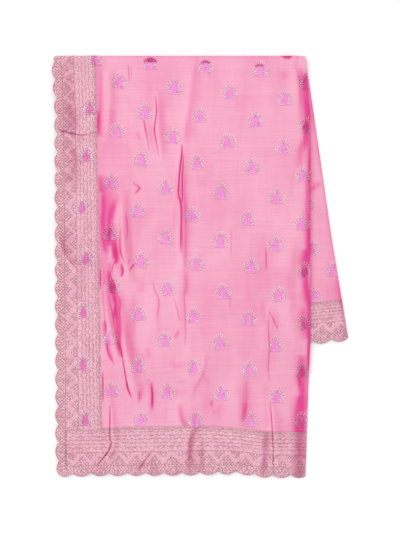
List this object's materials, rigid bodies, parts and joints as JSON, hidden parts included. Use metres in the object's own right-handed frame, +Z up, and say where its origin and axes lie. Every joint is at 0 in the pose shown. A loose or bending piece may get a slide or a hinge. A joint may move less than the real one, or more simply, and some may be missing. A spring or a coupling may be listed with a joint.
{
  "type": "folded saree",
  "caption": "Silk saree folded lengthwise and once across, with a scalloped embroidered border along its edge and hem, lying flat.",
  "frame": {"origin": "centre of the bounding box, on the surface that the folded saree lies on", "axes": "+Z up out of the surface, +Y towards the top fold, +X towards the side where the back leaf swings out"},
  "size_m": [0.4746, 0.676, 0.0199],
  "materials": {
    "silk_field": "satin silk with slub weave and embroidered buds",
    "embroidered_border": "silk covered with silvery thread embroidery",
    "silk_layers": "satin silk, folded edges of the hidden layers"
  },
  "bodies": {
    "root": {"front_field": "silk_field", "end_border": "embroidered_border", "front_hem_border": "embroidered_border", "back_field": "silk_field", "back_hem_border": "embroidered_border", "folded_layers": "silk_layers"}
  },
  "joints": []
}
